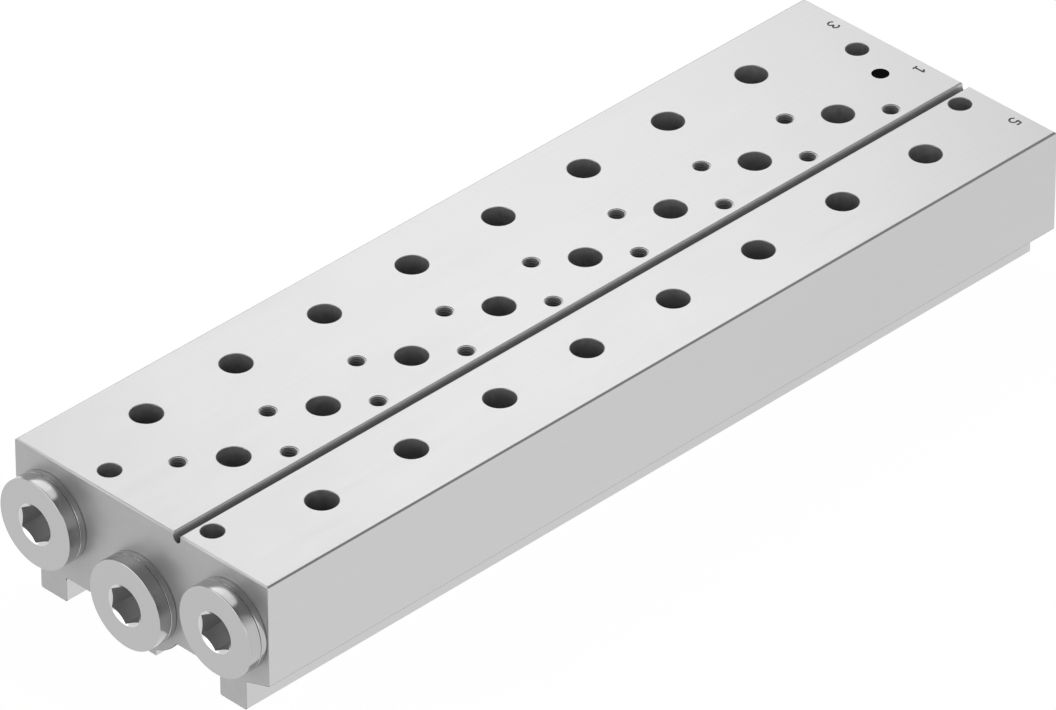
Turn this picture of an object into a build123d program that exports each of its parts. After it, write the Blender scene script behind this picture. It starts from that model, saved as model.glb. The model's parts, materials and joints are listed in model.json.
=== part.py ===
from build123d import *
import os
from math import radians, sqrt, tan

# Valve connection block: an extruded aluminium bar that feeds a row of valves screwed to its top.
# Millimetres. X runs across the bar, Y along it towards the open ports, Z up from the feet.
# The origin is on the foot plane, in the middle of the four mounting holes.

# Valve places along the top face: one supply port 1 between the exhaust ports 3 and 5
valve_count = 8
valve_pitch = 32.0
supply_row_x = -0.8
exhaust_row_offset = 29.8
exhaust_row_shift = 2.52
valve_port_dia = 9.0

# Two tapped blind holes for the screws of each valve, M5, drawn at the thread's outer diameter
valve_screw_offset_x = 8.44
valve_screw_offset_y = 11.64
valve_screw_dia = 5.0
valve_screw_depth = 12.5

# Four clearance holes that hold the bar down, M6
mounting_hole_dia = 6.4
mounting_spacing_x = 38.0
mounting_hole_lead = 26.5
front_end_margin = 7.35
rear_end_margin = 8.3

# Three lengthwise channels, with a G1/2 thread in both ends of each
channel_dia = 19.0
port_thread_dia = 20.955
port_thread_depth = 16.0
port_mouth_chamfer = 0.6
chamfer_angle = 45.0
side_channel_beside_row = 3.55
side_channel_depth = 17.6
middle_channel_depth = 26.25

# Flat sealing rings under the collars
ring_thickness = 2.0
ring_width = 2.32
ring_bore_clearance = 0.15

# Screw plugs with a collar and a hexagon socket
collar_overhang = 0.05
collar_height = 4.1
collar_edge_to_side = 0.35
collar_rim_chamfer = 0.25
shank_length = 14.0
thread_clearance = 0.05
socket_sides = 6
socket_across_flats = 10.0
socket_depth = 7.5
socket_mouth_dia = 12.0
socket_mouth_angle = 120.0

# Section of the bar below its side faces: two legs and a boss around the middle channel
side_face_height = 31.0
shoulder_drop = 2.75
web_underside_depth = 35.0
leg_width = 9.75
boss_wall = 5.9
foot_width = 9.5
foot_height = 1.05
leg_corner_radius = 0.6
leg_root_radius = 0.8
top_edge_chamfer = 0.5

# Narrow groove along the top, with a round bottom
groove_x = 13.75
groove_width = 3.1
groove_depth = 2.75
groove_lip_chamfer = 0.2

# Flush black insert near the open end
insert_dia = 4.9
insert_length = 5.0
insert_clearance = 0.02
insert_beside_row = 5.5
insert_to_mounting_row = 4.3

# Places that follow from these sizes
ring_inner_radius = port_thread_dia / 2 + ring_bore_clearance
ring_outer_radius = ring_inner_radius + ring_width
collar_radius = ring_outer_radius + collar_overhang
side_channel_x = exhaust_row_offset + side_channel_beside_row
side_x = side_channel_x + collar_radius + collar_edge_to_side
boss_radius = channel_dia / 2 + boss_wall
bar_height = middle_channel_depth + boss_radius + foot_height
side_channel_z = bar_height - side_channel_depth
middle_channel_z = bar_height - middle_channel_depth
valve_rows = [valve_pitch * (place - (valve_count - 1) / 2) for place in range(valve_count)]
mounting_y = valve_rows[-1] + mounting_hole_lead
front_y = -mounting_y - front_end_margin
rear_y = mounting_y + rear_end_margin
bar_length = rear_y - front_y

channel_axes = {
    "3": (-side_channel_x, side_channel_z),
    "1": (0, middle_channel_z),
    "5": (side_channel_x, side_channel_z),
}
valve_ports = {
    "3": [(supply_row_x - exhaust_row_offset, y - exhaust_row_shift) for y in valve_rows],
    "1": [(supply_row_x, y) for y in valve_rows],
    "5": [(supply_row_x + exhaust_row_offset, y + exhaust_row_shift) for y in valve_rows],
}
valve_screws = [
    (supply_row_x + side * valve_screw_offset_x, y + side * valve_screw_offset_y)
    for y in valve_rows
    for side in (-1, 1)
]
insert_centre = (supply_row_x - insert_beside_row, mounting_y - insert_to_mounting_row)

# Corners of the section, on its right half
shoulder_z = bar_height - side_face_height
leg_outer_x = side_channel_x + leg_width / 2
leg_inner_x = side_channel_x - leg_width / 2
leg_root_z = shoulder_z - shoulder_drop
web_z = bar_height - web_underside_depth
boss_root_x = sqrt(boss_radius**2 - (middle_channel_z - web_z) ** 2)
foot_x = foot_width / 2
foot_top_z = middle_channel_z - sqrt(boss_radius**2 - foot_x**2)
groove_radius = groove_width / 2
tolerance = 0.001

front_plane = Plane.XZ.offset(-front_y)
rear_plane = Plane.XZ.offset(-rear_y)
top_plane = Plane.XY.offset(bar_height)


# The bar is an extruded section, cut to length with its edges broken, then grooved, drilled and tapped.
with BuildPart() as manifold_block:
    with BuildSketch(front_plane) as section:
        with BuildLine() as outline:
            Polyline(
                (0, bar_height),
                (side_x, bar_height),
                (side_x, shoulder_z),
                (leg_outer_x, leg_root_z),
                (leg_outer_x, 0),
                (leg_inner_x, 0),
                (leg_inner_x, web_z),
                (boss_root_x, web_z),
            )
            RadiusArc((boss_root_x, web_z), (foot_x, foot_top_z), boss_radius)
            Polyline((foot_x, foot_top_z), (foot_x, 0), (0, 0))
            mirror(about=Plane.YZ)
        make_face()
        toes = [v for v in section.vertices() if v.Y < tolerance and abs(v.X) > foot_x + tolerance]
        fillet(toes, leg_corner_radius)
        roots = [v for v in section.vertices() if abs(abs(v.X) - leg_inner_x) < tolerance]
        fillet([v for v in roots if abs(v.Y - web_z) < tolerance], leg_root_radius)
    extrude(amount=-bar_length)
    chamfer(manifold_block.faces().sort_by(Axis.Z)[-1].edges(), top_edge_chamfer)

    # Groove along the top, wider at its lips
    with BuildSketch(front_plane) as groove_section:
        with BuildLine():
            Polyline(
                (groove_x - groove_radius, bar_height - groove_depth + groove_radius),
                (groove_x - groove_radius, bar_height - groove_lip_chamfer),
                (groove_x - groove_radius - groove_lip_chamfer, bar_height),
                (groove_x + groove_radius + groove_lip_chamfer, bar_height),
                (groove_x + groove_radius, bar_height - groove_lip_chamfer),
                (groove_x + groove_radius, bar_height - groove_depth + groove_radius),
            )
            ThreePointArc(
                (groove_x + groove_radius, bar_height - groove_depth + groove_radius),
                (groove_x, bar_height - groove_depth),
                (groove_x - groove_radius, bar_height - groove_depth + groove_radius),
            )
        make_face()
    extrude(amount=-bar_length, mode=Mode.SUBTRACT)

    # Channels through the whole length
    with BuildSketch(front_plane):
        with Locations(*channel_axes.values()):
            Circle(channel_dia / 2)
    extrude(amount=-bar_length, mode=Mode.SUBTRACT)

    # Threaded port mouths in both ends, drawn at the thread's outer diameter
    for mouth_plane, inward in ((front_plane, -1), (rear_plane, 1)):
        with BuildSketch(mouth_plane):
            with Locations(*channel_axes.values()):
                Circle(port_thread_dia / 2)
        extrude(amount=inward * port_thread_depth, mode=Mode.SUBTRACT)
        with BuildSketch(mouth_plane):
            with Locations(*channel_axes.values()):
                Circle(port_thread_dia / 2 + port_mouth_chamfer)
        extrude(amount=inward * port_mouth_chamfer, taper=chamfer_angle, mode=Mode.SUBTRACT)

    # Valve ports, each down to the axis of its channel
    for port, (channel_x, channel_z) in channel_axes.items():
        with BuildSketch(top_plane):
            with Locations(*valve_ports[port]):
                Circle(valve_port_dia / 2)
        extrude(amount=channel_z - bar_height, mode=Mode.SUBTRACT)

    # Tapped blind holes for the valve screws
    with Locations(*[(x, y, bar_height) for x, y in valve_screws]):
        Hole(radius=valve_screw_dia / 2, depth=valve_screw_depth)

    # Mounting holes through the web between the boss and the legs
    with Locations(top_plane):
        with GridLocations(mounting_spacing_x, 2 * mounting_y, 2, 2):
            Hole(radius=mounting_hole_dia / 2)

    # Blind seat of the black insert
    with Locations((*insert_centre, bar_height)):
        Hole(radius=insert_dia / 2 + insert_clearance, depth=insert_length)

manifold_block.part.label = "manifold_block"


# The insert is a short turned disc, pressed in flush with the top face.
with BuildPart() as black_insert:
    with BuildSketch(top_plane):
        with Locations(insert_centre):
            Circle(insert_dia / 2)
    extrude(amount=-insert_length)

black_insert.part.label = "black_insert"


def screw_plug(axis_x, axis_z):
    """A turned plug: a collar with a hexagon socket, and a threaded shank drawn as a plain cylinder."""
    section_plane = Plane(origin=(axis_x, front_y, axis_z), x_dir=(1, 0, 0), z_dir=(0, 0, 1))
    collar_back = -ring_thickness
    collar_front = collar_back - collar_height
    shank_radius = port_thread_dia / 2 - thread_clearance
    shank_end = collar_back + shank_length
    socket_plane = Plane(
        origin=(axis_x, front_y + collar_front, axis_z), x_dir=(1, 0, 0), z_dir=(0, -1, 0)
    )
    mouth_radius = socket_mouth_dia / 2
    mouth_depth = mouth_radius * tan(radians(90 - socket_mouth_angle / 2))
    with BuildPart() as plug:
        with BuildSketch(section_plane):
            with BuildLine():
                Polyline(
                    (0, collar_front),
                    (collar_radius - collar_rim_chamfer, collar_front),
                    (collar_radius, collar_front + collar_rim_chamfer),
                    (collar_radius, collar_back),
                    (shank_radius, collar_back),
                    (shank_radius, shank_end),
                    (0, shank_end),
                    close=True,
                )
            make_face()
        revolve(axis=Axis((axis_x, front_y, axis_z), (0, 1, 0)))

        # Hexagon socket, with two of its corners on the vertical
        with BuildSketch(socket_plane):
            RegularPolygon(
                radius=socket_across_flats / 2,
                side_count=socket_sides,
                major_radius=False,
                rotation=180 / socket_sides,
            )
        extrude(amount=-socket_depth, mode=Mode.SUBTRACT)

        # Conical mouth that the socket's corners run out into
        with Locations(socket_plane.offset(-mouth_depth / 2)):
            Cone(bottom_radius=0, top_radius=mouth_radius, height=mouth_depth, mode=Mode.SUBTRACT)
    return plug.part


def sealing_ring(axis_x, axis_z):
    """A flat ring between the collar and the bar."""
    with BuildPart() as ring:
        with BuildSketch(Plane.XZ.offset(-front_y)):
            with Locations((axis_x, axis_z)):
                Circle(ring_outer_radius)
                Circle(ring_inner_radius, mode=Mode.SUBTRACT)
        extrude(amount=ring_thickness)
    return ring.part


# Each near port is closed by a plug on its own sealing ring.
plugs = {}
rings = {}
for port, (channel_x, channel_z) in channel_axes.items():
    plugs[port] = screw_plug(channel_x, channel_z)
    plugs[port].label = f"plug_{port}"
    rings[port] = sealing_ring(channel_x, channel_z)
    rings[port].label = f"sealing_ring_{port}"

os.makedirs("parts", exist_ok=True)
for piece in (manifold_block.part, black_insert.part, *plugs.values(), *rings.values()):
    export_step(piece, f"parts/{piece.label}.step")
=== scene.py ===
import json
from math import cos, pi, radians, tan

import bmesh
import bpy
from mathutils import Matrix, Vector


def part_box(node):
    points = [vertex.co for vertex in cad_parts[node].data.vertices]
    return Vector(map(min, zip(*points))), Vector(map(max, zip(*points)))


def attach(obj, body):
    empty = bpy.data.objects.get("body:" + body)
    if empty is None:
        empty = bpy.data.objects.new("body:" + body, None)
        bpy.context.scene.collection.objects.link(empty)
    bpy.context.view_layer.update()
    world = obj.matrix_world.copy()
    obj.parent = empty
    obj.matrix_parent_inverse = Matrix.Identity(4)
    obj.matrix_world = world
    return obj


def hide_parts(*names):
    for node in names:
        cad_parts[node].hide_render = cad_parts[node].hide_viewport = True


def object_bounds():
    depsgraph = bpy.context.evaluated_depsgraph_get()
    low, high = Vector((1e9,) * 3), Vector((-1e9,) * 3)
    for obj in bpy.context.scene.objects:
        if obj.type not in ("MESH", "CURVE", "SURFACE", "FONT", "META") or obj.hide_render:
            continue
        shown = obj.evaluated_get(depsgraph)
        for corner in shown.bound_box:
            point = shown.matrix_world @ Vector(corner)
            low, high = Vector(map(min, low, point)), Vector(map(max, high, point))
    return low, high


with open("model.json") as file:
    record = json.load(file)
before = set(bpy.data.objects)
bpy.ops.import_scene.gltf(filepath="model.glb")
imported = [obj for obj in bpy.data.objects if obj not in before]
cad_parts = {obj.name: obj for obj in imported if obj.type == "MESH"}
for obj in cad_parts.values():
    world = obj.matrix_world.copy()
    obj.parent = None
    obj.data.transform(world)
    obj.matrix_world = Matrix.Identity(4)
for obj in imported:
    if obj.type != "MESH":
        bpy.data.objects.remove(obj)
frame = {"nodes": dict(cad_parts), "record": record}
cad_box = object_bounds()
mm = 0.001


# The bar: one length of extruded aluminium with a machined top, sawn and faced at both ends.
# Its channels, valve ports and screw holes are drilled from there. The shape is the modelled one,
# with its facets joined, and the three port numbers are engraved in it near the open end.
bar_low, bar_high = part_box("manifold_block")
top_z = bar_high.z

# Points closer than this are one. Facets that meet at less than flat_angle are one flat face, and those
# that meet at less than smooth_angle are shaded as one round face.
weld_distance = 0.001 * mm
flat_angle = radians(0.5)
smooth_angle = radians(28)

# A face looks along an axis if that part of its normal is above facing, and lies along the axis if it
# is below edge_on.
facing = 0.999
edge_on = 0.01


def linear(hex_colour):
    """An sRGB hex colour as the linear colour that a shader takes."""
    parts = [int(hex_colour[i : i + 2], 16) / 255 for i in (1, 3, 5)]
    return (*[c / 12.92 if c <= 0.04045 else ((c + 0.055) / 1.055) ** 2.4 for c in parts], 1)


def add_node(tree, kind, inputs, **settings):
    """Adds a node with its settings. Each input is a value, or the output that feeds it."""
    node = tree.nodes.new(kind)
    for name, value in settings.items():
        setattr(node, name, value)
    for name, value in inputs.items():
        if isinstance(value, bpy.types.NodeSocket):
            tree.links.new(value, node.inputs[name])
        else:
            node.inputs[name].default_value = value
    return node


def empty_material(name):
    """A material that has no nodes yet, and its node tree."""
    material = bpy.data.materials.new(name)
    material.use_nodes = True
    material.node_tree.nodes.clear()
    return material, material.node_tree


def satin_aluminium(name, streak_spacing, dark_streak, pale_streak, least_rough, most_rough, metallic):
    """Machined or drawn aluminium, clear anodised: a soft pale sheen, streaked along the bar."""
    streak_length = 45 * mm
    streak_depth = 0.02 * mm
    cloud_size = 30 * mm
    cloud_share = 0.3
    darkest, palest = 0.3, 0.7
    material, tree = empty_material(name)
    place = add_node(tree, "ShaderNodeTexCoord", {})
    streak_scale = (1 / streak_spacing, 1 / streak_length, 1 / streak_spacing)
    along = add_node(
        tree, "ShaderNodeMapping", {"Vector": place.outputs["Object"], "Scale": streak_scale}
    )
    streaks = add_node(
        tree, "ShaderNodeTexNoise", {"Vector": along.outputs["Vector"], "Scale": 1, "Detail": 3}
    )
    clouds = add_node(
        tree, "ShaderNodeTexNoise",
        {"Vector": place.outputs["Object"], "Scale": 1 / cloud_size, "Detail": 2},
    )
    pattern = add_node(
        tree, "ShaderNodeMix",
        {"Factor": cloud_share, "A": streaks.outputs["Fac"], "B": clouds.outputs["Fac"]},
    )
    colour = add_node(tree, "ShaderNodeValToRGB", {"Fac": pattern.outputs["Result"]})
    colour.color_ramp.elements[0].position = darkest
    colour.color_ramp.elements[0].color = linear(dark_streak)
    colour.color_ramp.elements[1].position = palest
    colour.color_ramp.elements[1].color = linear(pale_streak)
    roughness = add_node(
        tree, "ShaderNodeMapRange",
        {"Value": pattern.outputs["Result"], "From Min": darkest, "From Max": palest,
         "To Min": least_rough, "To Max": most_rough},
    )
    relief = add_node(
        tree, "ShaderNodeBump",
        {"Height": streaks.outputs["Fac"], "Strength": 0.05, "Distance": streak_depth},
    )
    shader = add_node(
        tree, "ShaderNodeBsdfPrincipled",
        {"Base Color": colour.outputs["Color"], "Roughness": roughness.outputs["Result"],
         "Metallic": metallic, "Normal": relief.outputs["Normal"]},
    )
    add_node(tree, "ShaderNodeOutputMaterial", {"Surface": shader.outputs["BSDF"]})
    return material


def bare_aluminium(name, grey):
    """Aluminium without its anodised coat: smoother, and as bright or dark as what it reflects."""
    burr_size = 0.2 * mm
    material, tree = empty_material(name)
    place = add_node(tree, "ShaderNodeTexCoord", {})
    grain = add_node(
        tree, "ShaderNodeTexNoise",
        {"Vector": place.outputs["Object"], "Scale": 1 / burr_size, "Detail": 2},
    )
    roughness = add_node(
        tree, "ShaderNodeMapRange", {"Value": grain.outputs["Fac"], "To Min": 0.24, "To Max": 0.36}
    )
    shader = add_node(
        tree, "ShaderNodeBsdfPrincipled",
        {"Base Color": linear(grey), "Roughness": roughness.outputs["Result"], "Metallic": 1.0},
    )
    add_node(tree, "ShaderNodeOutputMaterial", {"Surface": shader.outputs["BSDF"]})
    return material


def groove_aluminium_painted_light():
    """The inside of the groove, with painted light: a painted highlight below its lips, and painted shade
    deepening to its bottom.
    """
    material, tree = empty_material("groove_aluminium_painted_light")
    place = add_node(tree, "ShaderNodeTexCoord", {})
    height = add_node(tree, "ShaderNodeSeparateXYZ", {"Vector": place.outputs["Object"]})
    up_wall = add_node(
        tree, "ShaderNodeMapRange",
        {"Value": height.outputs["Z"], "From Min": top_z - groove_depth, "From Max": top_z},
    )
    # Painted shade, darker the lower it lies in the groove, and a painted highlight near the lips
    colour = add_node(tree, "ShaderNodeValToRGB", {"Fac": up_wall.outputs["Result"]})
    colour.color_ramp.elements[0].color = linear("#2A2A2A")
    colour.color_ramp.elements[1].color = linear("#FAFAFA")
    for position, grey in ((0.32, "#999999"), (0.54, "#C0C0C0"), (0.72, "#FAFAFA")):
        colour.color_ramp.elements.new(position).color = linear(grey)
    shader = add_node(
        tree, "ShaderNodeBsdfPrincipled",
        {"Base Color": colour.outputs["Color"], "Roughness": 0.45, "Metallic": 0.4},
    )
    add_node(tree, "ShaderNodeOutputMaterial", {"Surface": shader.outputs["BSDF"]})
    return material


def engraved_aluminium():
    """The bottom of a laser-engraved mark: aluminium burnt to a rough dull grey."""
    grit = 0.06 * mm
    material, tree = empty_material("engraved_aluminium")
    place = add_node(tree, "ShaderNodeTexCoord", {})
    grain = add_node(
        tree, "ShaderNodeTexNoise",
        {"Vector": place.outputs["Object"], "Scale": 1 / grit, "Detail": 2},
    )
    colour = add_node(tree, "ShaderNodeValToRGB", {"Fac": grain.outputs["Fac"]})
    colour.color_ramp.elements[0].color = linear("#747474")
    colour.color_ramp.elements[1].color = linear("#949494")
    shader = add_node(
        tree, "ShaderNodeBsdfPrincipled",
        {"Base Color": colour.outputs["Color"], "Roughness": 0.8, "Metallic": 0.3},
    )
    add_node(tree, "ShaderNodeOutputMaterial", {"Surface": shader.outputs["BSDF"]})
    return material


def finished_piece(shape, name, materials):
    """Makes a piece from a finished bmesh, and lets it ride on the part. Its flat faces stay flat, and
    the large ones lead the shading of the narrow round ones beside them."""
    bmesh.ops.remove_doubles(shape, verts=shape.verts, dist=weld_distance)
    bmesh.ops.dissolve_limit(
        shape, angle_limit=flat_angle, verts=shape.verts, edges=shape.edges, delimit={"MATERIAL"}
    )
    for edge in shape.edges:
        edge.smooth = edge.calc_face_angle(pi) < smooth_angle
    for face in shape.faces:
        turns = [edge.calc_face_angle(0) for edge in face.edges]
        face.smooth = any(flat_angle < turn < smooth_angle for turn in turns)
    mesh = bpy.data.meshes.new(name)
    shape.to_mesh(mesh)
    shape.free()
    for material in materials:
        mesh.materials.append(material)
    piece = bpy.data.objects.new(name, mesh)
    bpy.context.scene.collection.objects.link(piece)
    even_shading = piece.modifiers.new("even_shading", "WEIGHTED_NORMAL")
    even_shading.keep_sharp = True
    even_shading.weight = 100
    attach(piece, "root")
    return piece


def cut_from(shape, cutter):
    """Cuts one closed bmesh out of another. The cut faces keep the cutter's material number."""
    both = []
    for name, side in (("body", shape), ("cutter", cutter)):
        mesh = bpy.data.meshes.new(name)
        side.to_mesh(mesh)
        side.free()
        both.append(bpy.data.objects.new(name, mesh))
        bpy.context.scene.collection.objects.link(both[-1])
    cut = both[0].modifiers.new("cut", "BOOLEAN")
    cut.operation = "DIFFERENCE"
    cut.solver = "EXACT"
    cut.material_mode = "INDEX"
    cut.object = both[1]
    bpy.context.view_layer.update()
    evaluated = both[0].evaluated_get(bpy.context.evaluated_depsgraph_get())
    result = bmesh.new()
    result.from_mesh(evaluated.to_mesh())
    for side in both:
        mesh = side.data
        bpy.data.objects.remove(side)
        bpy.data.meshes.remove(mesh)
    return result


# How far each edge is broken, and then softened
edge_break = 0.5 * mm
hole_edge_break = 0.2 * mm
screw_edge_break = 0.06 * mm
port_mouth_break = 0.61 * mm
edge_softness = 0.2 * mm
end_softness = 0.08 * mm
outline_softness = 0.15 * mm

# Where the side faces end, and how far behind them the outer sides of the legs lie at the most
side_height = 31 * mm
leg_setback = 9 * mm

# Two tapped holes at each valve, to both sides of its middle
valve_screw_radius = 2.5 * mm
valve_screw_offset = Vector((8.44, 11.64, 0)) * mm

# The black insert's seat keeps its sharp rim
insert_low, insert_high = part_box("black_insert")
insert_middle = (insert_low + insert_high) / 2
insert_reach = (insert_high.x - insert_low.x) / 2 + 0.15 * mm

# The groove, between its modelled sides, and as it is finished: a share of that width, moved a little,
# with both lips broken. Half the cutter for the lips is given from the middle outwards and from the top
# upwards, in millimetres: a flat slope first, and then a steep one down to the wall.
groove_low, groove_high = 12 * mm, 15.5 * mm
groove_depth = 2.8 * mm
groove_middle = 13.53 * mm
groove_share = 0.82
groove_reach = 1.75 * mm
lip_depth = 0.3 * mm
lip_section = [(1.91, 0.2), (1.378, -0.1325), (1.2594, -0.3555)]

# The port numbers. Their centres are in millimetres, and their strokes on a digit one unit wide and high.
digit_height = 3.3 * mm
digit_width = 2.1 * mm
stroke_width = 0.64 * mm
engraving_depth = 0.24 * mm
digit_centres = {"3": (-31.8, 142.7), "1": (-0.1, 142.9), "5": (35.1, 142.7)}
digit_strokes = {
    "3": [[(-0.5, 0.34), (-0.05, 0.5), (0.45, 0.27), (0.02, 0.03)],
          [(0.02, 0.03), (0.5, -0.22), (0, -0.5), (-0.5, -0.32)]],
    "1": [[(-0.5, 0.2), (0, 0.5)], [(0, 0.5), (0, -0.5)], [(-0.42, -0.5), (0.42, -0.5)]],
    "5": [[(0.42, 0.5), (-0.36, 0.5)], [(-0.36, 0.5), (-0.42, 0.06)],
          [(-0.42, 0.06), (0.02, 0.14), (0.5, -0.18), (0, -0.5), (-0.5, -0.34)]],
}


def engraving_path(points, x, y):
    """The path of the round engraving tool. A digit reads along -Y, with its upper side towards +X."""
    path = bpy.data.curves.new("stroke", "CURVE")
    path.dimensions = "3D"
    path.bevel_depth = stroke_width / 2
    path.bevel_resolution = 3
    path.use_fill_caps = True
    path.resolution_u = 8
    spline = path.splines.new("BEZIER")
    spline.bezier_points.add(len(points) - 1)
    for point, (across, up) in zip(spline.bezier_points, points):
        point.co = (across * digit_width, up * digit_height, 0)
        point.handle_left_type = point.handle_right_type = "AUTO"
    stroke = bpy.data.objects.new("stroke", path)
    mesh = bpy.data.meshes.new_from_object(stroke)
    engraving = bmesh.new()
    engraving.from_mesh(mesh)
    bpy.data.objects.remove(stroke)
    bpy.data.meshes.remove(mesh)
    bmesh.ops.remove_doubles(engraving, verts=engraving.verts, dist=weld_distance)
    bmesh.ops.recalc_face_normals(engraving, faces=engraving.faces)
    for face in engraving.faces:
        face.material_index = bar_finishes.index(engraved)
    height = top_z + stroke_width / 2 - engraving_depth
    place = Matrix.Translation((x * mm, y * mm, height)) @ Matrix.Rotation(-pi / 2, 4, "Z")
    engraving.transform(place)
    return engraving


def lip_cutter():
    """A bar along the groove, past both ends, that breaks its two lips."""
    section = [(-x, z) for x, z in lip_section] + lip_section[::-1]
    shape = bmesh.new()
    near, far = (
        [shape.verts.new((groove_middle + x * mm, y, top_z + z * mm)) for x, z in section]
        for y in (2 * bar_low.y, 2 * bar_high.y)
    )
    shape.faces.new(near)
    shape.faces.new(far)
    for place in range(len(section)):
        shape.faces.new((near[place - 1], near[place], far[place], far[place - 1]))
    bmesh.ops.recalc_face_normals(shape, faces=shape.faces)
    return shape


def rounded(shape, edges, size, segments):
    """Rounds edges of a bmesh, with the faces beside them shortened by this size."""
    bmesh.ops.bevel(
        shape, geom=edges, offset=size, offset_type="OFFSET", affect="EDGES",
        segments=segments, profile=0.5, material=-1,
    )


def slants(face):
    """Whether a face is neither level nor upright."""
    return edge_on < abs(face.normal.z) < facing


def bar_finish(face):
    """The finish of a face of the bar, from where it lies and which way it looks."""
    middle = face.calc_center_median()
    across, along, up = face.normal
    from_end = min(middle.y - bar_low.y, bar_high.y - middle.y)
    from_side = abs(abs(middle.x) - bar_high.x)
    in_groove = abs(middle.x - groove_middle) < groove_reach and middle.z > top_z - groove_depth
    in_screw_hole = any((middle - centre).xy.length < valve_screw_radius for centre in screw_centres)
    # The two ends, coloured darker as painted shade
    if abs(along) > facing and from_end < weld_distance:
        return faced_ends_painted_shade
    # The walls and the bottom of the groove, which carry its painted highlight and shade
    if in_groove and abs(along) < edge_on and middle.z < top_z - lip_depth:
        return groove_painted_light
    # The broken edges of the top face: those along the ends are milled with them, and share their painted
    # shade
    if abs(up) < facing and middle.z > top_z - edge_break:
        return faced_ends_painted_shade if from_end < edge_break and abs(across) < edge_on else bare
    # The ports' mouths, and the outline of the ends with a painted shadow line where it looks down
    if edge_on < abs(along) < facing and from_end < port_mouth_break:
        return painted_shadow_line if from_end < outline_softness and up < -edge_on else bare
    # The walls of the small tapped holes, painted dark as the shade behind the threads
    if abs(up) < edge_on and in_screw_hole:
        return painted_shade_grey
    # The sides, and the outer sides of the legs
    if abs(across) > facing and from_side < leg_setback:
        return extruded
    # The lower edges of the sides, painted dark as a thin shadow line
    if -facing < up < -edge_on and from_side < outline_softness:
        return painted_shade_grey
    return aluminium


# The milled top is the palest, with close streaks that the eye reads as a brushed satin
aluminium = satin_aluminium(
    "satin_aluminium", 0.55 * mm, "#D0D0D0", "#D6D6D6", least_rough=0.42, most_rough=0.5, metallic=1.0
)

# The faced ends are glossier, with streaks too broad to see one by one, and coloured darker than the top
# as painted shade
faced_ends_painted_shade = satin_aluminium(
    "faced_end_aluminium_painted_shade", 4 * mm, "#BDBDBD", "#C4C4C4", least_rough=0.34, most_rough=0.42, metallic=0.5
)

# Painted highlight and shade: the groove goes from a near white band under its lips to a dark bottom,
# which makes it look deep
groove_painted_light = groove_aluminium_painted_light()

# The threads of the small holes are glossy, so that each turn shows as a light and a dark line
tapped = satin_aluminium(
    "tapped_aluminium", 2 * mm, "#BEBEBE", "#C6C6C6", least_rough=0.3, most_rough=0.36, metallic=0.5
)

# The engraved numbers are a rough grey, darker than the top round them
engraved = engraved_aluminium()

# Broken edges show as fine lines, dark or bright with the angle
bare = bare_aluminium("bare_aluminium", "#A8A8A8")

# Painted shade: a dark grey on the walls behind the small threads, and a thin painted shadow line under
# each side
painted_shade_grey = bare_aluminium("grey_aluminium_painted_shade", "#6E6E6E")

# A painted shadow: a thin, nearly black line along the lower edges of the sawn ends
painted_shadow_line = bare_aluminium("black_line_painted_shadow", "#202020")

# The sides and legs keep the skin of the extrusion, plain and even
extruded = satin_aluminium(
    "extruded_aluminium", 4 * mm, "#CBCBCB", "#CFCFCF", least_rough=0.42, most_rough=0.5, metallic=1.0
)
bar_finishes = [aluminium, engraved, bare, faced_ends_painted_shade, groove_painted_light, painted_shade_grey, extruded, painted_shadow_line]

# The modelled bar, with its groove drawn in and the lips of the groove broken
bar_shape = bmesh.new()
bar_shape.from_mesh(frame["nodes"]["manifold_block"].data)
bmesh.ops.remove_doubles(bar_shape, verts=bar_shape.verts, dist=weld_distance)
bmesh.ops.dissolve_limit(
    bar_shape, angle_limit=flat_angle, verts=bar_shape.verts, edges=bar_shape.edges
)
modelled_middle = (groove_low + groove_high) / 2
for vertex in bar_shape.verts:
    across_groove = groove_low - weld_distance < vertex.co.x < groove_high + weld_distance
    if across_groove and vertex.co.z > top_z - groove_depth:
        vertex.co.x = groove_middle + (vertex.co.x - modelled_middle) * groove_share
bar_shape = cut_from(bar_shape, lip_cutter())

# The rims of the holes in the top face: those of the small tapped holes are broken less than the rest
mounts = {mount["name"]: mount for mount in frame["record"]["mounts"]}
valve_pairs = [Vector(m["pos_m"]) for name, m in mounts.items() if name.startswith("valve_screws")]
screw_centres = [centre + side * valve_screw_offset for centre in valve_pairs for side in (-1, 1)]
screw_reach = valve_screw_radius + weld_distance
hole_rims = [
    edge for edge in bar_shape.edges
    if edge.is_manifold and all(abs(v.co.z - top_z) < weld_distance for v in edge.verts)
    and min(abs(face.normal.z) for face in edge.link_faces) < edge_on
    and (edge.verts[0].co - insert_middle).xy.length > insert_reach
    and abs(edge.verts[0].co.x - groove_middle) > groove_reach
]
screw_rims = [
    edge for edge in hole_rims
    if any((edge.verts[0].co - centre).xy.length < screw_reach for centre in screw_centres)
]
other_rims = [edge for edge in hole_rims if edge not in screw_rims]
rounded(bar_shape, screw_rims, screw_edge_break, segments=2)
rounded(bar_shape, other_rims, hole_edge_break, segments=4)

# The break along the top is softened where it meets the top, the sides and the ends
top_breaks = [
    edge for edge in bar_shape.edges
    if edge.is_manifold and abs(edge.calc_face_angle() - pi / 4) < flat_angle
    and all(v.co.z > top_z - edge_break - weld_distance for v in edge.verts)
    and any(slants(face) for face in edge.link_faces)
    and not all(slants(face) for face in edge.link_faces)
    and edge.calc_length() > 2 * hole_edge_break
]
end_breaks = [
    edge for edge in top_breaks
    if abs(edge.verts[0].co.y - edge.verts[1].co.y) < weld_distance
]
side_breaks = [edge for edge in top_breaks if edge not in end_breaks]
rounded(bar_shape, side_breaks, edge_softness, segments=2)
rounded(bar_shape, [edge for edge in end_breaks if edge.is_valid], end_softness, segments=2)

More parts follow.
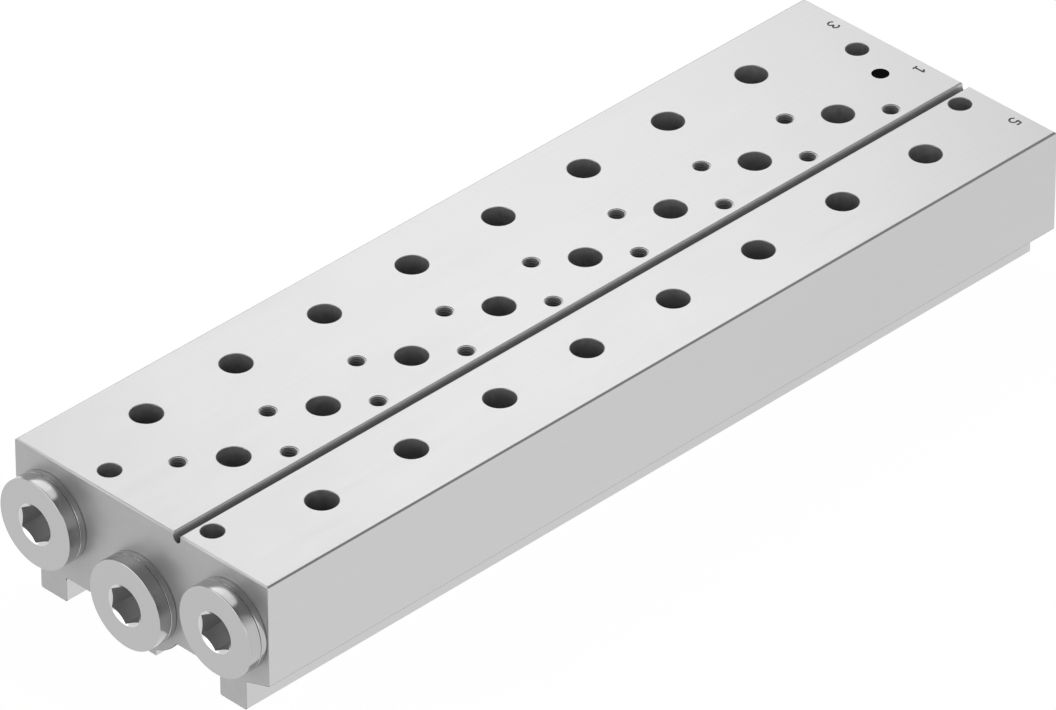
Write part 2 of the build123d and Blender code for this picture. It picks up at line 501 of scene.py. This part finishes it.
# So are the lower edges of the sides and the square outline of both ends
side_bottoms = [
    edge for edge in bar_shape.edges
    if edge.is_manifold and edge.calc_length() > 2 * side_height
    and all(abs(abs(v.co.x) - bar_high.x) < weld_distance for v in edge.verts)
    and all(v.co.z < top_z - side_height + weld_distance for v in edge.verts)
]
rounded(bar_shape, side_bottoms, outline_softness, segments=2)
end_outline = [
    edge for edge in bar_shape.edges
    if edge.is_manifold and abs(edge.calc_face_angle() - pi / 2) < flat_angle
    and any(
        all(abs(v.co.y - end) < weld_distance for v in edge.verts) for end in (bar_low.y, bar_high.y)
    )
]
rounded(bar_shape, end_outline, outline_softness, segments=2)

for face in bar_shape.faces:
    face.material_index = bar_finishes.index(bar_finish(face))
for digit, centre in digit_centres.items():
    for points in digit_strokes[digit]:
        bar_shape = cut_from(bar_shape, engraving_path(points, *centre))
bar = finished_piece(bar_shape, "bar", bar_finishes)
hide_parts("manifold_block")


# The screw threads, cut by taps in the aluminium: each is one ridge that winds round the wall of its hole
# and starts just below the mouth. The valve screws' are M5, and the ports' are G1/2, with flanks at 60
# and at 55 degrees.
valve_screw_crest_radius = 2.1 * mm
valve_screw_pitch = 0.8 * mm
valve_screw_depth = 11.5 * mm
valve_screw_steps = 28
valve_screw_lead = 0.15 * mm
metric_flank_angle = 60
port_radius = 10.4775 * mm
port_crest_radius = 9.5 * mm
port_pitch = 25.4 / 14 * mm
port_depth = 15.5 * mm
port_steps = 64
port_lead = 0.12 * mm
pipe_flank_angle = 55
ridge_overlap = 0.03 * mm


def thread_ridge(wall, crest, pitch, depth, steps, flank_angle, lead):
    """A ridge between a wall and a crest radius, from the origin down -Z, cut flat at both its ends.
    It is rooted a little way into the wall, and its crest is a quarter of the pitch wide."""
    shape = bmesh.new()
    crest_half = pitch / 8
    wall_half = crest_half + abs(wall - crest) * tan(radians(flank_angle / 2))
    outer = wall + ridge_overlap if wall > crest else wall - ridge_overlap
    corners = [(outer, -wall_half), (crest, -crest_half), (crest, crest_half), (outer, wall_half)]
    points = [shape.verts.new((radius, 0, z + pitch / 2)) for radius, z in corners]
    profile = shape.faces.new(points)
    turns = depth / pitch + 1
    bmesh.ops.spin(
        shape, geom=[profile, *profile.edges, *points], cent=(0, 0, 0), axis=(0, 0, 1),
        dvec=(0, 0, -pitch / steps), angle=-2 * pi * turns, steps=round(steps * turns),
        use_merge=False, use_normal_flip=False, use_duplicate=False,
    )
    for height, side in ((-lead, 1), (-depth, -1)):
        cut = bmesh.ops.bisect_plane(
            shape, geom=[*shape.verts, *shape.edges, *shape.faces], dist=weld_distance / 10,
            plane_co=(0, 0, height), plane_no=(0, 0, side), clear_outer=True,
        )
        edges = [g for g in cut["geom_cut"] if isinstance(g, bmesh.types.BMEdge)]
        bmesh.ops.holes_fill(shape, edges=edges)
    bmesh.ops.recalc_face_normals(shape, faces=shape.faces)
    return shape


def repeated(shape, places):
    """A bmesh of copies of a shape, one moved by each of the given matrices."""
    mesh = bpy.data.meshes.new("repeated")
    shape.to_mesh(mesh)
    shape.free()
    whole = bmesh.new()
    for place in places:
        copy = mesh.copy()
        copy.transform(place)
        whole.from_mesh(copy)
        bpy.data.meshes.remove(copy)
    bpy.data.meshes.remove(mesh)
    return whole


screw_holes = [Matrix.Translation(centre) for centre in screw_centres]
screw_ridge = thread_ridge(
    valve_screw_radius, valve_screw_crest_radius, valve_screw_pitch, valve_screw_depth,
    valve_screw_steps, metric_flank_angle, valve_screw_lead,
)
finished_piece(repeated(screw_ridge, screw_holes), "valve_screw_threads", [tapped])

port_axes = {number: Vector(mounts["port_" + number]["pos_m"]) for number in "315"}
open_mouths = [
    Matrix.Translation((axis.x, bar_high.y, axis.z)) @ Matrix.Rotation(-pi / 2, 4, "X")
    for axis in port_axes.values()
]
port_ridge = thread_ridge(
    port_radius, port_crest_radius, port_pitch, port_depth, port_steps, pipe_flank_angle, port_lead
)
finished_piece(repeated(port_ridge, open_mouths), "open_port_threads", [aluminium])


# The plugs: turned steel with a plated finish, one screwed into each near port by its hexagon socket.
# The collar's rims are rounded, the broached socket has a conical mouth, and the shank's thread winds
# round a thinner core.
plug_segments = 128
rim_radius = 0.25 * mm
back_rim_radius = 0.3 * mm
shank_core_radius = 9.3 * mm
shank_crest_radius = 10.42 * mm
socket_sides = 6
socket_across_flats = 10 * mm
socket_depth = 7.5 * mm
socket_mouth_radius = 6 * mm
socket_mouth_angle = 120


def plated_steel(name, dark_ring, pale_ring):
    """Turned steel with bright nickel plating: a soft mirror, with the turning tool's fine rings."""
    ring_spacing = 0.5 * mm
    material, tree = empty_material(name)
    place = add_node(tree, "ShaderNodeTexCoord", {})
    along_axis = add_node(
        tree, "ShaderNodeMapping",
        {"Vector": place.outputs["Object"], "Scale": (0, 1 / ring_spacing, 0)},
    )
    rings = add_node(
        tree, "ShaderNodeTexNoise", {"Vector": along_axis.outputs["Vector"], "Scale": 1, "Detail": 3}
    )
    colour = add_node(tree, "ShaderNodeValToRGB", {"Fac": rings.outputs["Fac"]})
    colour.color_ramp.elements[0].position = 0.3
    colour.color_ramp.elements[0].color = linear(dark_ring)
    colour.color_ramp.elements[1].position = 0.7
    colour.color_ramp.elements[1].color = linear(pale_ring)
    roughness = add_node(
        tree, "ShaderNodeMapRange", {"Value": rings.outputs["Fac"], "To Min": 0.15, "To Max": 0.21}
    )
    shader = add_node(
        tree, "ShaderNodeBsdfPrincipled",
        {"Base Color": colour.outputs["Color"], "Roughness": roughness.outputs["Result"],
         "Metallic": 1.0},
    )
    add_node(tree, "ShaderNodeOutputMaterial", {"Surface": shader.outputs["BSDF"]})
    return material


def broached_steel():
    """The socket's walls: torn by the broach, so dull, and thinly plated where the bath hardly reaches."""
    tear_spacing = 0.4 * mm
    material, tree = empty_material("broached_steel")
    place = add_node(tree, "ShaderNodeTexCoord", {})
    tears = add_node(
        tree, "ShaderNodeTexNoise",
        {"Vector": place.outputs["Object"], "Scale": 1 / tear_spacing, "Detail": 2},
    )
    colour = add_node(tree, "ShaderNodeValToRGB", {"Fac": tears.outputs["Fac"]})
    colour.color_ramp.elements[0].color = linear("#C0C0C0")
    colour.color_ramp.elements[1].color = linear("#CACACA")
    shader = add_node(
        tree, "ShaderNodeBsdfPrincipled",
        {"Base Color": colour.outputs["Color"], "Roughness": 0.28, "Metallic": 0.7},
    )
    add_node(tree, "ShaderNodeOutputMaterial", {"Surface": shader.outputs["BSDF"]})
    return material


def turned(outline, segments, close):
    """A solid turned about Y from (radius, y) points. A ring's outline closes on itself."""
    shape = bmesh.new()
    points = [shape.verts.new((radius, y, 0)) for radius, y in outline]
    pairs = list(zip(points, points[1:])) + ([(points[-1], points[0])] if close else [])
    edges = [shape.edges.new(pair) for pair in pairs]
    bmesh.ops.spin(
        shape, geom=[*points, *edges], cent=(0, 0, 0), axis=(0, 1, 0), dvec=(0, 0, 0),
        angle=2 * pi, steps=segments, use_merge=True, use_normal_flip=False, use_duplicate=False,
    )
    bmesh.ops.remove_doubles(shape, verts=shape.verts, dist=weld_distance)
    bmesh.ops.dissolve_limit(
        shape, angle_limit=flat_angle, verts=shape.verts, edges=shape.edges, delimit={"NORMAL"}
    )
    bmesh.ops.recalc_face_normals(shape, faces=shape.faces)
    return shape


def round_rim(shape, radius, y, size):
    """Rounds the circular edge that lies at this radius and y."""
    rim = [
        edge for edge in shape.edges
        if all(abs(v.co.y - y) < weld_distance for v in edge.verts)
        and all(abs(Vector((v.co.x, v.co.z)).length - radius) < weld_distance for v in edge.verts)
    ]
    rounded(shape, rim, size, segments=4)


# Collars and washers are a bright grey that takes soft reflections
steel = plated_steel("nickel_plated_steel", "#B4B4B4", "#BCBCBC")

# The socket's mouth is the brightest part, where the plating lies on a fresh cut
countersunk = plated_steel("countersunk_steel", "#C8C8C8", "#D2D2D2")

# A painted shadow: the rim at the back of the collar is coloured dark, and draws a dark line along the
# washer
painted_rim_shadow = plated_steel("dark_steel_painted_shadow", "#5C5C5C", "#646464")

# The socket's walls are duller than the rest, and take on the dark of the hole
broached = broached_steel()
plug_finishes = [steel, broached, countersunk, painted_rim_shadow]

corner_radius = socket_across_flats / 2 / cos(pi / socket_sides)
cone_depth = socket_mouth_radius / tan(radians(socket_mouth_angle / 2))
for number, axis in port_axes.items():
    plug_low, plug_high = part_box("plug_" + number)
    ring_low, ring_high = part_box("sealing_ring_" + number)
    collar_radius = (plug_high.x - plug_low.x) / 2
    front, back, end = plug_low.y, ring_low.y, plug_high.y
    plug_shape = turned(
        [(0, front), (collar_radius, front), (collar_radius, back), (shank_core_radius, back),
         (shank_core_radius, end), (0, end)],
        plug_segments, close=False,
    )
    round_rim(plug_shape, collar_radius, front, rim_radius)
    round_rim(plug_shape, collar_radius, back, back_rim_radius)
    # The back rim's faces take the painted shadow
    for face in plug_shape.faces:
        on_back_rim = face.calc_center_median().y > back - back_rim_radius
        if on_back_rim and edge_on < face.normal.y < facing:
            face.material_index = plug_finishes.index(painted_rim_shadow)

    out_of_front = Matrix.Translation((0, front, 0)) @ Matrix.Rotation(pi / 2, 4, "X")
    hexagon = bmesh.new()
    bmesh.ops.create_cone(
        hexagon, cap_ends=True, cap_tris=False, segments=socket_sides, radius1=corner_radius,
        radius2=corner_radius, depth=2 * socket_depth, matrix=out_of_front,
    )
    for face in hexagon.faces:
        face.material_index = plug_finishes.index(broached)
    plug_shape = cut_from(plug_shape, hexagon)
    cone = bmesh.new()
    bmesh.ops.create_cone(
        cone, cap_ends=True, cap_tris=False, segments=plug_segments, radius1=0,
        radius2=2 * socket_mouth_radius, depth=2 * cone_depth, matrix=out_of_front,
    )
    bmesh.ops.remove_doubles(cone, verts=cone.verts, dist=weld_distance)
    for face in cone.faces:
        face.material_index = plug_finishes.index(countersunk)
    plug_shape = cut_from(plug_shape, cone)

    ridge = thread_ridge(
        shank_core_radius, shank_crest_radius, port_pitch, end - ring_high.y - port_lead,
        port_steps, pipe_flank_angle, port_lead,
    )
    ridge_mesh = bpy.data.meshes.new("ridge")
    ridge.to_mesh(ridge_mesh)
    ridge.free()
    ridge_mesh.transform(Matrix.Translation((0, end, 0)) @ Matrix.Rotation(-pi / 2, 4, "X"))
    plug_shape.from_mesh(ridge_mesh)
    bpy.data.meshes.remove(ridge_mesh)
    bmesh.ops.translate(plug_shape, verts=plug_shape.verts, vec=(axis.x, 0, axis.z))
    plug = finished_piece(plug_shape, "screw_plug_" + number, plug_finishes)
    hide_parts("plug_" + number)


# The sealing rings: flat washers of plated steel, turned, with rounded edges. Each is squeezed between
# a collar and the face of the bar.
ring_width = 2.32 * mm
ring_edge = 0.3 * mm
for number, axis in port_axes.items():
    ring_low, ring_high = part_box("sealing_ring_" + number)
    outer = (ring_high.x - ring_low.x) / 2
    inner = outer - ring_width
    near, far = ring_low.y, ring_high.y
    ring_shape = turned(
        [(inner, near), (outer, near), (outer, far), (inner, far)], plug_segments, close=True
    )
    for radius in (inner, outer):
        for y in (near, far):
            round_rim(ring_shape, radius, y, ring_edge)
    bmesh.ops.translate(ring_shape, verts=ring_shape.verts, vec=(axis.x, 0, axis.z))
    ring = finished_piece(ring_shape, "sealing_washer_" + number, [steel])
    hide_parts("sealing_ring_" + number)


# The insert: a small disc of matt black plastic, moulded and pressed in flush with the top face.
# Its shape is the modelled one, so only the finish is given here.
def matt_black_plastic():
    """Moulded nylon, deep black with a fine spark-eroded grain that scatters all gloss."""
    grit = 0.08 * mm
    material, tree = empty_material("matt_black_nylon")
    place = add_node(tree, "ShaderNodeTexCoord", {})
    grain = add_node(
        tree, "ShaderNodeTexNoise",
        {"Vector": place.outputs["Object"], "Scale": 1 / grit, "Detail": 2},
    )
    relief = add_node(
        tree, "ShaderNodeBump",
        {"Height": grain.outputs["Fac"], "Strength": 0.2, "Distance": 0.01 * mm},
    )
    colour = add_node(tree, "ShaderNodeValToRGB", {"Fac": grain.outputs["Fac"]})
    colour.color_ramp.elements[0].color = linear("#020202")
    colour.color_ramp.elements[1].color = linear("#080808")
    shader = add_node(
        tree, "ShaderNodeBsdfPrincipled",
        {"Base Color": colour.outputs["Color"], "Roughness": 0.9, "Specular IOR Level": 0.05,
         "Normal": relief.outputs["Normal"]},
    )
    add_node(tree, "ShaderNodeOutputMaterial", {"Surface": shader.outputs["BSDF"]})
    return material


insert = frame["nodes"]["black_insert"]
insert.data.materials.clear()
insert.data.materials.append(matt_black_plastic())


# The studio: a wide white sheet under the part, a pale wall all round near the horizon, a grey
# ceiling, and soft lamps above and beside the part.
floor_drop = 0.05 * mm
floor_size = 80


def seen_directly(tree):
    """1 for what the camera sees, straight or in metal and glass, and 0 for light that scatters."""
    path = add_node(tree, "ShaderNodeLightPath", {})
    glossy = add_node(
        tree, "ShaderNodeMath",
        {0: path.outputs["Is Camera Ray"], 1: path.outputs["Is Glossy Ray"]}, operation="ADD",
    )
    return add_node(
        tree, "ShaderNodeMath",
        {0: glossy.outputs["Value"], 1: path.outputs["Is Transmission Ray"]},
        operation="ADD", use_clamp=True,
    ).outputs["Value"]


def white_sheet():
    """A matt white sheet. Most of what the camera sees of it is plain white, the rest its shading.
    The plain part is a little over 1, so that the two together show as white."""
    white_share = 0.85
    white_strength = 1.13
    material, tree = empty_material("white_sheet")
    matt = add_node(tree, "ShaderNodeBsdfDiffuse", {"Color": linear("#C0C0C0")})
    white = add_node(
        tree, "ShaderNodeEmission", {"Color": linear("#FFFFFF"), "Strength": white_strength}
    )
    share = add_node(
        tree, "ShaderNodeMath", {0: seen_directly(tree), 1: white_share}, operation="MULTIPLY"
    )
    mixed = add_node(
        tree, "ShaderNodeMixShader",
        {"Fac": share.outputs["Value"], 1: matt.outputs["BSDF"], 2: white.outputs["Emission"]},
    )
    add_node(tree, "ShaderNodeOutputMaterial", {"Surface": mixed.outputs["Shader"]})
    return material


floor_shape = bmesh.new()
bmesh.ops.create_grid(
    floor_shape, x_segments=1, y_segments=1, size=floor_size / 2,
    matrix=Matrix.Translation((0, 0, cad_box[0].z - floor_drop)),
)
floor_mesh = bpy.data.meshes.new("floor")
floor_shape.to_mesh(floor_mesh)
floor_shape.free()
floor_mesh.materials.append(white_sheet())
floor = bpy.data.objects.new("floor", floor_mesh)
bpy.context.scene.collection.objects.link(floor)

# The wall is full up to wall_top and gone at ceiling_low, as heights of a line of sight one unit long
wall_top = 0.25
ceiling_low = 0.68
world = bpy.data.worlds.new("studio")
bpy.context.scene.world = world
world.use_nodes = True
world.node_tree.nodes.clear()
direction = add_node(world.node_tree, "ShaderNodeTexCoord", {})
split = add_node(
    world.node_tree, "ShaderNodeSeparateXYZ", {"Vector": direction.outputs["Generated"]}
)
wall = add_node(
    world.node_tree, "ShaderNodeMapRange",
    {"Value": split.outputs["Z"], "From Min": wall_top, "From Max": ceiling_low,
     "To Min": 1, "To Max": 0},
)
wall_seen = add_node(
    world.node_tree, "ShaderNodeMath",
    {0: wall.outputs["Result"], 1: seen_directly(world.node_tree)}, operation="MULTIPLY",
)
studio_colour = add_node(
    world.node_tree, "ShaderNodeMix",
    {"Factor": wall_seen.outputs["Value"], "A": linear("#7C7C7C"), "B": linear("#FFFFFF")},
    data_type="RGBA",
)
background = add_node(
    world.node_tree, "ShaderNodeBackground", {"Color": studio_colour.outputs["Result"], "Strength": 1}
)
add_node(world.node_tree, "ShaderNodeOutputWorld", {"Surface": background.outputs["Background"]})


def softbox(name, place, size, radiance):
    """A square lamp that faces the part. Its radiance of 1 shows as white."""
    lamp = bpy.data.lights.new(name, "AREA")
    lamp.shape = "SQUARE"
    lamp.size = size
    lamp.energy = radiance * pi * size ** 2
    box = bpy.data.objects.new(name, lamp)
    box.location = place
    box.rotation_euler = (-Vector(place)).to_track_quat("-Z", "Y").to_euler()
    bpy.context.scene.collection.objects.link(box)


softbox("back_softbox", (-0.32, 0.27, 0.45), size=0.43, radiance=1.35)
softbox("overhead_softbox", (0.0, 0.66, 1.08), size=0.6, radiance=1.0)
softbox("front_softbox", (-0.9, -1.3, 1.2), size=0.8, radiance=1.0)
softbox("side_softbox", (1.8, -0.2, 0.7), size=0.8, radiance=1.5)
softbox("low_softbox", (-0.46, -1.56, 0.28), size=1.5, radiance=1.3)


# The camera: a long lens, three metres away, that looks down on the part from its right front corner.
# It is aimed at a point on the top face, a little to the front of the middle.
camera_azimuth = radians(44.995)
camera_elevation = radians(34.702)
camera_roll = radians(-0.097)
camera_distance = 3019.84 * mm
camera_aim = Vector((20.36, -26.51, 42.7)) * mm
camera_data = bpy.data.cameras.new("camera")
camera_data.sensor_width = 36
camera_data.lens = 397.08
camera_data.clip_end = 200
camera = bpy.data.objects.new("camera", camera_data)
bpy.context.scene.collection.objects.link(camera)
turn = (
    Matrix.Rotation(camera_azimuth, 4, "Z")
    @ Matrix.Rotation(pi / 2 - camera_elevation, 4, "X")
    @ Matrix.Rotation(camera_roll, 4, "Z")
)
camera.matrix_world = (
    Matrix.Translation(camera_aim) @ turn @ Matrix.Translation((0, 0, camera_distance))
)
bpy.context.scene.camera = camera
bpy.context.scene.view_settings.view_transform = "Standard"
